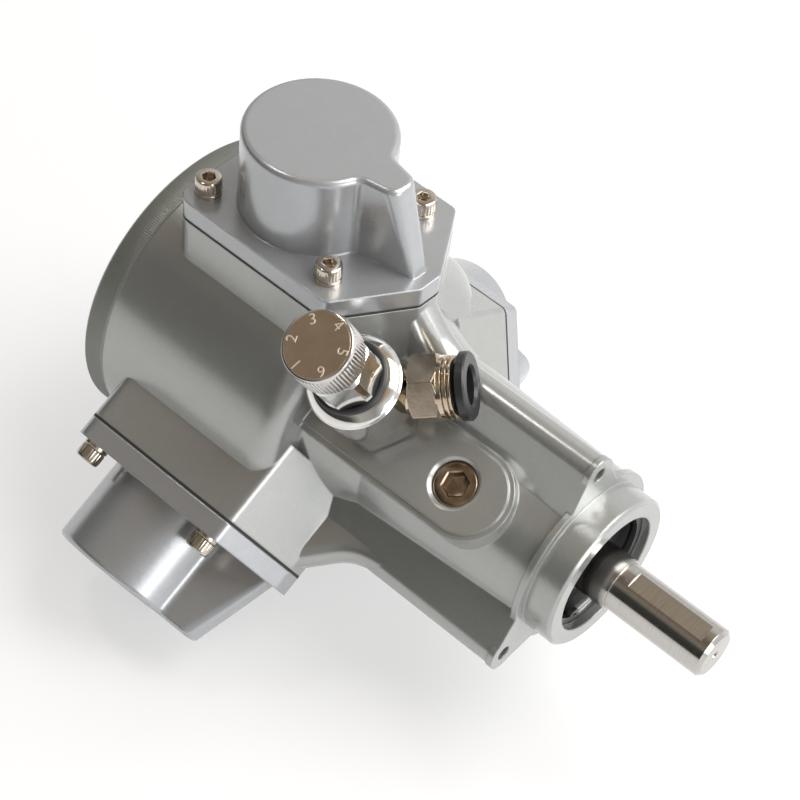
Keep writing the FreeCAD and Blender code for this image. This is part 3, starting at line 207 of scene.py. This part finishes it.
# Each lamp: its name, the way it lies from the motor, its distance, size and power
LAMPS = [
    ("lamp_high", (0.42, 0.38, 0.82), 1.3, 1.0, 19.0),
    ("lamp_stripe", (-0.4, -0.06, 0.91), 1.5, 0.16, 2.0),
    ("lamp_end", (0.96, -0.1, 0.3), 1.2, 0.6, 4.0),
]
for name, way, distance, width, power in LAMPS:
    data = bpy.data.lights.new(name, "AREA")
    data.size = width
    data.energy = power
    lamp = bpy.data.objects.new(name, data)
    bpy.context.collection.objects.link(lamp)
    way = Vector(way).normalized()
    lamp.location = (cad_low + cad_high) / 2 + way * distance
    lamp.rotation_mode = "QUATERNION"
    lamp.rotation_quaternion = way.to_track_quat("Z", "Y")

bpy.context.scene.view_settings.view_transform = "Standard"


# Crankcase: one aluminium casting with its nose, cylinder seats and valve pad. It is sprayed with silver
# lacquer, which lies over soft cast edges and a fine grain.

EDGE_ROUND = 0.0007
EDGE_SAMPLES = 6
GRAIN = 0.0011
DRIFT_SCALE = 220
PAINT_UNEVEN = 0.06


def new_material(name):
    """An empty material, its shader, and the place on the object that its patterns are tied to."""
    material = bpy.data.materials.new(name)
    material.use_nodes = True
    shader = Shader(material.node_tree)
    return material, shader, shader.node("ShaderNodeTexCoord", {}, {}, "Object")


def silver_paint(name, dark, light, roughness):
    """Silver lacquer on a casting: a fine grain, slow changes of tone and softly rounded edges."""
    material, shader, place = new_material(name)
    drift = shader.node("ShaderNodeTexNoise", {}, {"Vector": place, "Scale": DRIFT_SCALE, "Detail": 3})
    grain = shader.node("ShaderNodeTexNoise", {}, {"Vector": place, "Scale": 1 / GRAIN, "Detail": 1})
    colour = shader.node("ShaderNodeValToRGB", {"stops": [(0.0, dark), (1.0, light)]},
                         {"Fac": drift * 0.5 + grain * 0.5})
    soft = shader.node("ShaderNodeBevel", {"samples": EDGE_SAMPLES}, {"Radius": EDGE_ROUND})
    bump = shader.node("ShaderNodeBump", {}, {
        "Strength": 0.1, "Distance": 0.00015, "Height": grain, "Normal": soft})
    surface = shader.node("ShaderNodeBsdfPrincipled", {}, {
        "Base Color": colour, "Metallic": 0.6, "Normal": bump,
        "Roughness": grain * PAINT_UNEVEN + (roughness - PAINT_UNEVEN / 2),
        "Coat Weight": 0.3, "Coat Roughness": 0.12})
    shader.node("ShaderNodeOutputMaterial", {}, {"Surface": surface})
    return material


def dress(material, *nodes):
    """Give CAD nodes their finish."""
    for name in nodes:
        slots = frame["nodes"][name].data.materials
        slots.clear()
        slots.append(material)


case_paint = silver_paint("case_silver", (0.365, 0.375, 0.365), (0.425, 0.435, 0.425), 0.25)
dress(case_paint, "crankcase")


# Cylinder heads: three aluminium castings in the same silver, a little cooler in tone. Each is screwed to
# its seat on a gasket of black fibre.

SPECK = 0.0005
STUFF_UNEVEN = 0.1
DARKER = 0.8
TONE_LOW, TONE_HIGH = 0.3, 0.7

head_paint = silver_paint("head_silver", (0.385, 0.4, 0.417), (0.445, 0.46, 0.477), 0.25)
dress(head_paint, "cylinder_head_1", "cylinder_head_2", "cylinder_head_3")


def toned(shader, pattern, dark, light):
    """A colour that goes from dark to light over the middle of a pattern's range."""
    return shader.node("ShaderNodeValToRGB", {"stops": [(TONE_LOW, dark), (TONE_HIGH, light)]},
                       {"Fac": pattern})


def plain_stuff(name, colour, roughness, metallic=0.0):
    """A matt or satin stuff with a little grain, for seals, gaskets and plain inner pieces."""
    material, shader, place = new_material(name)
    speck = shader.node("ShaderNodeTexNoise", {}, {"Vector": place, "Scale": 1 / SPECK, "Detail": 3})
    tone = toned(shader, speck, [part * DARKER for part in colour], colour)
    bump = shader.node("ShaderNodeBump", {}, {"Strength": 0.15, "Distance": 0.0001, "Height": speck})
    surface = shader.node("ShaderNodeBsdfPrincipled", {}, {
        "Base Color": tone, "Metallic": metallic, "Normal": bump,
        "Roughness": speck * STUFF_UNEVEN + (roughness - STUFF_UNEVEN / 2)})
    shader.node("ShaderNodeOutputMaterial", {}, {"Surface": surface})
    return material


gasket_fibre = plain_stuff("gasket_fibre", (0.035, 0.035, 0.035), 0.8)
dress(gasket_fibre, "head_gasket_1", "head_gasket_2", "head_gasket_3")


# Rear cover: a disc of turned aluminium in a darker, greener silver, screwed into the back of the case.
# Its rim has a fine straight knurl, which gives the hand a grip.

RIM_WIDTH = 0.0075
RIM_SINK = 0.0005
KNURL_TEETH = 400
KNURL_DEPTH = 0.0002
KNURL_EASE = 0.0009
KNURL_RUNOUT = 0.0002
KNURL_CURVE = 0.7
STEPS_A_TOOTH = 4
WELD = 1e-7
SHARP = math.radians(32)


def turned_mesh(name, rings, steps):
    """A skin turned about Z, through rings of height and radius. A ring of a knurl or a hexagon has a
    third value, which gives what its radius gains at each angle."""
    made = bmesh.new()
    loops = []
    for height, radius, *gain in rings:
        if not radius and not gain:
            loops.append([made.verts.new((0, 0, height))])
            continue
        loop = []
        for step in range(steps):
            angle = 2 * math.pi * step / steps
            reach = radius + sum(more(angle) for more in gain)
            loop.append(made.verts.new((reach * math.cos(angle), reach * math.sin(angle), height)))
        loops.append(loop)
    for low, high in zip(loops, loops[1:]):
        for step in range(steps):
            after = (step + 1) % steps
            corners = [low[step % len(low)], low[after % len(low)],
                       high[after % len(high)], high[step % len(high)]]
            made.faces.new(list(dict.fromkeys(corners)))
    return finished_mesh(name, made)


def finished_mesh(name, made):
    """Weld a drawn skin, turn its faces outwards and keep the edges sharp where it bends much."""
    bmesh.ops.remove_doubles(made, verts=made.verts, dist=WELD)
    bmesh.ops.recalc_face_normals(made, faces=made.faces)
    mesh = bpy.data.meshes.new(name)
    made.to_mesh(mesh)
    made.free()
    mesh.shade_smooth()
    mesh.set_sharp_from_angle(angle=SHARP)
    return mesh


def stand(mesh, origin, upward, material, body, first):
    """Put a mesh that was drawn along Z at its place, along the given way, and let it ride."""
    up = Vector(upward).normalized()
    side = Vector(first)
    side = (side - up * side.dot(up)).normalized()
    basis = Matrix((side, up.cross(side), up)).transposed().to_4x4()
    mesh.transform(Matrix.Translation(Vector(origin)) @ basis)
    mesh.materials.clear()
    mesh.materials.append(material)
    piece = bpy.data.objects.new(mesh.name, mesh)
    bpy.context.collection.objects.link(piece)
    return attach(piece, body)


def ridge(teeth, depth):
    """How far a straight knurl falls back from its crests, at each angle."""
    return lambda angle: -depth * abs(math.sin(angle * teeth / 2)) ** KNURL_CURVE


cover_low, cover_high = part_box("rear_cover")
rim_radius = cover_high.y + KNURL_DEPTH
rim_inside = cover_high.y - RIM_SINK
rim_back = cover_low.x + KNURL_EASE
rim_front = cover_low.x + RIM_WIDTH - KNURL_EASE / 2
rim_knurl = ridge(KNURL_TEETH, KNURL_DEPTH)
rim = turned_mesh("cover_knurl", [
    (rim_back - KNURL_EASE / 2, rim_inside),
    (rim_back, rim_radius - KNURL_DEPTH),
    (rim_back + KNURL_RUNOUT, rim_radius, rim_knurl),
    (rim_front - KNURL_RUNOUT, rim_radius, rim_knurl),
    (rim_front, rim_radius - KNURL_DEPTH),
    (rim_front + KNURL_EASE / 3, rim_inside),
    (rim_back - KNURL_EASE / 2, rim_inside),
], KNURL_TEETH * STEPS_A_TOOTH)
cover_paint = silver_paint("cover_silver", (0.255, 0.268, 0.245), (0.305, 0.318, 0.295), 0.33)
stand(rim, (0, 0, 0), (1, 0, 0), cover_paint, "case", (0, 0, 1))
dress(cover_paint, "rear_cover")


# Head screws: four socket screws to each head, of nickel plated steel, each on a plain washer. Their heads
# are knurled and rounded at the top, and each screw comes to rest at an angle of its own.

SCREW_HEAD = 0.0035
SCREW_HEIGHT = 0.004
SCREW_TEETH = 28
SCREW_KNURL = 0.00012
SCREW_UNDERCUT = 0.0004
SCREW_RUNOUT = 0.0003
SCREW_KNURL_TOP = 0.0009
# Each ring of the rounded shoulder: how far it lies below the head's top and inside the knurl
SCREW_SHOULDER = [(0.0006, 0.00012), (0.0003, 0.00018), (0.00008, 0.00042), (0.0, 0.0007)]
SOCKET_ACROSS = 0.003
SOCKET_DEPTH = 0.0022
SOCKET_CHAMFER = 0.0002
SOCKET_CONE = 0.0004
WASHER_RADIUS = 0.0036
WASHER_BORE = 0.002
WASHER_HEIGHT = 0.0011
WASHER_EDGE = 0.00015
WASHER_STEPS = 48
LEAN_ALONG = 0.7
LEAN_ACROSS = 1.9
NICKEL_UNEVEN = 0.08
NICKEL_EDGE = 0.0002
CLOUD_SCALE = 260
CYLINDER_STEP = 120


def bright_nickel(name, dark, light, roughness):
    """Nickel plate: bright, a little warm, with faint cloudiness and finely broken edges."""
    material, shader, place = new_material(name)
    cloud = shader.node("ShaderNodeTexNoise", {}, {"Vector": place, "Scale": CLOUD_SCALE, "Detail": 3})
    tone = toned(shader, cloud, dark, light)
    soft = shader.node("ShaderNodeBevel", {"samples": EDGE_SAMPLES}, {"Radius": NICKEL_EDGE})
    bump = shader.node("ShaderNodeBump", {}, {
        "Strength": 0.04, "Distance": 0.0002, "Height": cloud, "Normal": soft})
    surface = shader.node("ShaderNodeBsdfPrincipled", {}, {
        "Base Color": tone, "Metallic": 1.0, "Normal": bump,
        "Roughness": cloud * NICKEL_UNEVEN + roughness})
    shader.node("ShaderNodeOutputMaterial", {}, {"Surface": surface})
    return material


def hexagon(across):
    """How far the wall of a hexagon socket lies from its axis, at each angle."""
    def reach(angle):
        facet = (angle % (math.pi / 3)) - math.pi / 6
        return across / 2 / math.cos(facet)
    return reach


def screw_meshes():
    """One screw head and its washer, drawn from the washer's foot up."""
    top = WASHER_HEIGHT + SCREW_HEIGHT
    socket = hexagon(SOCKET_ACROSS)
    knurl = ridge(SCREW_TEETH, SCREW_KNURL)
    head = turned_mesh("screw_head", [
        (WASHER_HEIGHT, 0.0),
        (WASHER_HEIGHT, SCREW_HEAD - SCREW_UNDERCUT),
        (WASHER_HEIGHT + SCREW_RUNOUT, SCREW_HEAD, knurl),
        (top - SCREW_KNURL_TOP, SCREW_HEAD, knurl),
        *[(top - down, SCREW_HEAD - inward) for down, inward in SCREW_SHOULDER],
        (top, SOCKET_CHAMFER, socket),
        (top - SOCKET_CHAMFER, 0.0, socket),
        (top - SOCKET_DEPTH, 0.0, socket),
        (top - SOCKET_DEPTH - SOCKET_CONE, 0.0),
    ], SCREW_TEETH * STEPS_A_TOOTH)
    washer = turned_mesh("screw_washer", [
        (0.0, WASHER_BORE),
        (0.0, WASHER_RADIUS),
        (WASHER_HEIGHT - WASHER_EDGE, WASHER_RADIUS),
        (WASHER_HEIGHT, WASHER_RADIUS - WASHER_EDGE),
        (WASHER_HEIGHT, WASHER_BORE),
        (0.0, WASHER_BORE),
    ], WASHER_STEPS)
    return head, washer


screw_nickel = bright_nickel("screw_nickel", (0.50, 0.44, 0.37), (0.66, 0.60, 0.52), 0.1)
screws_low, screws_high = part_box("head_screws_1")
throw_x = (screws_low.x + screws_high.x) / 2
spread_x = (screws_high.x - screws_low.x) / 2 - SCREW_HEAD
spread_y = (screws_high.y - screws_low.y) / 2 - SCREW_HEAD
washer_foot = screws_high.z - SCREW_HEIGHT - WASHER_HEIGHT
for number in (1, 2, 3):
    carrier = Matrix.Rotation(math.radians(CYLINDER_STEP * (number - 1)), 4, "X")
    bunch = bmesh.new()
    for along in (-1, 1):
        for across in (-1, 1):
            lean = Matrix.Rotation(along * LEAN_ALONG + across * LEAN_ACROSS + number, 4, "Z")
            spot = Vector((throw_x + along * spread_x, across * spread_y, washer_foot))
            for drawn in screw_meshes():
                drawn.transform(carrier @ Matrix.Translation(spot) @ lean)
                bunch.from_mesh(drawn)
                bpy.data.meshes.remove(drawn)
    group = finished_mesh("socket_screws_%d" % number, bunch)
    group.materials.append(screw_nickel)
    piece = bpy.data.objects.new(group.name, group)
    bpy.context.collection.objects.link(piece)
    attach(piece, "case")
    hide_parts("head_screws_%d" % number)


# Output shaft: the front end of the steel crankshaft, ground between centres, so that fine rings run
# round it. A flat is milled on it for a set screw.

RING_STRETCH = (9000, 120, 120)
STEEL_UNEVEN = 0.1
STEEL_EDGE = 0.0002


def ground_steel(name, dark, light, roughness):
    """Metal turned or ground along X: rings so fine that they only spread the shine."""
    material, shader, place = new_material(name)
    stretched = shader.node("ShaderNodeVectorMath", {"operation": "MULTIPLY"}, {0: place, 1: RING_STRETCH})
    rings = shader.node("ShaderNodeTexNoise", {}, {"Vector": stretched, "Scale": 1, "Detail": 2})
    tone = toned(shader, rings, dark, light)
    soft = shader.node("ShaderNodeBevel", {"samples": EDGE_SAMPLES}, {"Radius": STEEL_EDGE})
    bump = shader.node("ShaderNodeBump", {}, {
        "Strength": 0.1, "Distance": 0.00005, "Height": rings, "Normal": soft})
    surface = shader.node("ShaderNodeBsdfPrincipled", {}, {
        "Base Color": tone, "Metallic": 1.0, "Normal": bump,
        "Roughness": rings * STEEL_UNEVEN + roughness})
    shader.node("ShaderNodeOutputMaterial", {}, {"Surface": surface})
    return material


shaft_steel = ground_steel("shaft_steel", (0.46, 0.445, 0.42), (0.56, 0.545, 0.52), 0.09)
dress(shaft_steel, "crankshaft")


# Nose opening: a lip seal of black rubber runs on the shaft, and an inside retaining ring of dark spring
# steel sits in its groove in front of it. The motor's other seals are of the same rubber.

black_rubber = plain_stuff("black_rubber", (0.018, 0.018, 0.02), 0.45)
dress(black_rubber, "oil_seal", "cover_ring_seal", "bonnet_ring_seal", "tube_seal")
spring_steel = ground_steel("spring_steel", (0.2, 0.2, 0.2), (0.3, 0.3, 0.3), 0.3)
dress(spring_steel, "retaining_ring")


# Speed control valve: a brass body with a hexagon bonnet and a tube fitting, nickel plated, screwed into
# the tilted pad. The body's round collar has a rolled crown, and the fitting a black release ring.

# The crown's section, once round: its height above the collar and its radius
CROWN_SECTION = [
    (0.0, 0.0099),
    (0.0013, 0.0099),
    (0.0017, 0.0093),
    (0.0018, 0.0089),
    (0.0021, 0.0090),
    (0.0021, 0.0094),
    (0.0017, 0.0103),
    (0.0009, 0.0115),
    (0.0002, 0.0121),
    (0.0, 0.0122),
    (0.0, 0.0099),
]
CROWN_STEPS = 128

valve_nickel = bright_nickel("valve_nickel", (0.70, 0.69, 0.67), (0.80, 0.79, 0.77), 0.04)
dress(valve_nickel, "valve_body", "valve_bonnet", "valve_seat_washer")
# The fitting's warm brown is partly the nickel's own tone and partly a painted brown reflection of the
# room.
fitting_nickel_painted_reflection = bright_nickel("fitting_nickel_painted_reflection", (0.52, 0.43, 0.33), (0.64, 0.55, 0.44), 0.06)
dress(fitting_nickel_painted_reflection, "tube_fitting", "tube_grip_ring", "needle_spindle")
black_plastic = plain_stuff("release_plastic", (0.02, 0.02, 0.022), 0.35)
dress(black_plastic, "release_ring")

joints = {joint["name"]: joint for joint in frame["joints"]}
knob_foot = Vector(joints["knob_turn"]["pos_m"])
knob_up = Vector(joints["knob_turn"]["axis"]).normalized()
fitting_way = -Vector(joints["release_press"]["axis"]).normalized()


def node_points(node):
    """Where the points of a CAD node are."""
    return [Vector(vertex.co) for vertex in frame["nodes"][node].data.vertices]


def span_along(points, foot):
    """How far points lie from a foot: along the knob's axis, and square to it."""
    heights = [(point - foot).dot(knob_up) for point in points]
    widths = [((point - foot) - knob_up * height).length for point, height in zip(points, heights)]
    return heights, widths


collar_top = max(span_along(node_points("valve_body"), knob_foot)[0])
crown_rings = [(collar_top + rise, radius) for rise, radius in CROWN_SECTION]
crown = turned_mesh("collar_crown", crown_rings, CROWN_STEPS)
stand(crown, knob_foot, knob_up, valve_nickel, "case", fitting_way)


# Throttle knob: turned brass with a straight knurl, nickel plated, on the needle's spindle. Its dial is let
# into its top, and the numerals are cut and filled pale.

KNOB_TEETH = 64
KNOB_STEPS_A_TOOTH = 6
KNOB_KNURL = 0.00022
KNOB_FACE_BAND = 0.0016
KNOB_RUNOUT = 0.0003
KNOB_FOOT_EDGE = 0.0005
KNOB_FOOT_CHAMFER = 0.0009
KNOB_BORE = 0.0025
KNOB_CAP = 0.0015
# Each ring of the rounded edge round the dial: how far it lies below the top and inside the knurl's foot
KNOB_SHOULDER = [(0.0005, 0.0), (0.0002, 0.00012), (0.00004, 0.00035), (0.0, 0.0006)]

knob_heights, knob_widths = span_along(node_points("throttle_knob"), knob_foot)
knob_height, knob_radius = max(knob_heights), max(knob_widths)
knob_inner = knob_radius - KNOB_KNURL
knob_knurl = ridge(KNOB_TEETH, KNOB_KNURL)
knob = turned_mesh("dial_knob", [
    (knob_height - KNOB_CAP, 0.0),
    (knob_height - KNOB_CAP, KNOB_BORE),
    (0.0, KNOB_BORE),
    (0.0, knob_radius - KNOB_FOOT_CHAMFER),
    (KNOB_FOOT_EDGE, knob_radius, knob_knurl),
    (knob_height - KNOB_FACE_BAND - KNOB_RUNOUT, knob_radius, knob_knurl),
    (knob_height - KNOB_FACE_BAND, knob_inner),
    *[(knob_height - down, knob_inner - inward) for down, inward in KNOB_SHOULDER],
    (knob_height, 0.0),
], KNOB_TEETH * KNOB_STEPS_A_TOOTH)
knob_nickel = bright_nickel("knob_nickel", (0.62, 0.59, 0.57), (0.74, 0.71, 0.69), 0.08)
knob_piece = stand(knob, knob_foot, knob_up, knob_nickel, "knob", fitting_way)
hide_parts("throttle_knob")

DIAL_MARGIN = 0.0008
DIAL_SINK = 0.0004
DIAL_EDGE_RISE = 0.00002
DIAL_RISE = 0.00003
DIAL_STEPS = 96

dial_radius = knob_inner - DIAL_MARGIN
# The dial's warm brown is partly the nickel's own tone and partly a painted brown reflection of the room.
dial_nickel_painted_reflection = bright_nickel("dial_nickel_painted_reflection", (0.60, 0.51, 0.42), (0.66, 0.57, 0.47), 0.14)
dial = turned_mesh("dial_face", [
    (knob_height - DIAL_SINK, 0.0),
    (knob_height - DIAL_SINK, dial_radius),
    (knob_height + DIAL_EDGE_RISE, dial_radius),
    (knob_height + DIAL_RISE, 0.0),
], DIAL_STEPS)
stand(dial, knob_foot, knob_up, dial_nickel_painted_reflection, "knob", fitting_way)

DIGITS = 6
DIGIT_HEIGHT = 0.0029
# The font's size for digits of height 1
FONT_SIZE = 1.38
DIGIT_THICKNESS = 0.00003
DIGIT_CIRCLE = 0.0066
DIGIT_START = math.radians(221)
DIGIT_STEP = math.radians(-60)
DIGIT_RISE = 0.00005
DIGIT_RESOLUTION = 4

numerals = bmesh.new()
for index in range(DIGITS):
    curve = bpy.data.curves.new("numeral", "FONT")
    curve.body = str(index + 1)
    curve.align_x = "CENTER"
    curve.align_y = "CENTER"
    curve.size = DIGIT_HEIGHT * FONT_SIZE
    curve.extrude = DIGIT_THICKNESS
    curve.resolution_u = DIGIT_RESOLUTION
    text = bpy.data.objects.new("numeral", curve)
    flat = bpy.data.meshes.new_from_object(text)
    angle = DIGIT_START + DIGIT_STEP * index
    place = Matrix.Translation((DIGIT_CIRCLE * math.cos(angle), DIGIT_CIRCLE * math.sin(angle), 0))
    flat.transform(place @ Matrix.Rotation(angle - math.pi / 2, 4, "Z"))
    numerals.from_mesh(flat)
    bpy.data.objects.remove(text)
numeral_mesh = finished_mesh("dial_numerals", numerals)
numeral_mesh.transform(Matrix.Translation((0, 0, knob_height + DIGIT_RISE)))
numeral_fill = bright_nickel("numeral_nickel", (0.80, 0.72, 0.60), (0.88, 0.80, 0.68), 0.5)
stand(numeral_mesh, knob_foot, knob_up, numeral_fill, "knob", fitting_way)


# Port plug: a socket plug of dark bronze, screwed into the second tapped hole of the pad. Its brown is
# partly the bronze and partly a painted brown reflection. Its rim and its hexagon socket are chamfered.

PLUG_CHAMFER = 0.0006
# Each ring of the plug's upper edge: how far it lies below the top and inside the wall
PLUG_SHOULDER = [(0.0006, 0.0), (0.0002, 0.0003), (0.0, 0.0007)]
PLUG_CLEARANCE = 0.00002
PLUG_SOCKET = 0.006
PLUG_SOCKET_DEPTH = 0.0036
PLUG_SOCKET_MOUTH = 0.00045
PLUG_SOCKET_CHAMFER = 0.0005
PLUG_CONE = 0.0008
PLUG_STEPS = 96

plug_points = node_points("port_plug")
plug_middle = sum(plug_points, Vector()) / len(plug_points)
plug_heights, plug_widths = span_along(plug_points, plug_middle)
plug_foot, plug_top = min(plug_heights), max(plug_heights)
plug_radius = max(plug_widths) - PLUG_CLEARANCE
plug_socket = hexagon(PLUG_SOCKET)
plug = turned_mesh("socket_plug", [
    (plug_foot, 0.0),
    (plug_foot, plug_radius - PLUG_CHAMFER),
    (plug_foot + PLUG_CHAMFER, plug_radius),
    *[(plug_top - down, plug_radius - inward) for down, inward in PLUG_SHOULDER],
    (plug_top, PLUG_SOCKET_MOUTH, plug_socket),
    (plug_top - PLUG_SOCKET_CHAMFER, 0.0, plug_socket),
    (plug_top - PLUG_SOCKET_DEPTH, 0.0, plug_socket),
    (plug_top - PLUG_SOCKET_DEPTH - PLUG_CONE, 0.0),
], PLUG_STEPS)
# Dark brown: partly the bronze's own colour, partly a painted brown reflection of the room.
plug_bronze_painted_reflection = bright_nickel("plug_bronze_painted_reflection", (0.30, 0.22, 0.15), (0.44, 0.34, 0.25), 0.16)
plug_piece = stand(plug, plug_middle, knob_up, plug_bronze_painted_reflection, "case", fitting_way)
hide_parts("port_plug")


# Inside the motor, hidden by the case: bearings and the crank pin's ring of ground steel, a bronze rotary
# valve in an iron sleeve, turned aluminium pistons on steel pins, and forged rods and counterweight.

race_steel = ground_steel("race_steel", (0.5, 0.5, 0.51), (0.62, 0.62, 0.63), 0.15)
dress(race_steel, "front_bearing_outer_ring", "rear_bearing_outer_ring", "front_bearing_inner_ring",
      "rear_bearing_inner_ring", "front_bearing_balls", "rear_bearing_balls", "crank_pin_ring")
forged_steel = plain_stuff("forged_steel", (0.2, 0.2, 0.205), 0.5, 0.9)
dress(forged_steel, "counterweight", "connecting_rod_1", "connecting_rod_2", "connecting_rod_3")
honed_iron = plain_stuff("honed_iron", (0.16, 0.16, 0.16), 0.4, 0.9)
dress(honed_iron, "valve_sleeve")
rotor_bronze = ground_steel("rotor_bronze", (0.5, 0.33, 0.15), (0.6, 0.42, 0.2), 0.3)
dress(rotor_bronze, "rotary_valve")
turned_aluminium = ground_steel("turned_aluminium", (0.6, 0.6, 0.61), (0.7, 0.7, 0.71), 0.3)
sealing_plastic = plain_stuff("sealing_plastic", (0.07, 0.065, 0.06), 0.5)
for number in (1, 2, 3):
    dress(turned_aluminium, "piston_%d" % number)
    dress(sealing_plastic, "piston_ring_%d" % number)
    dress(race_steel, "wrist_pin_%d" % number)
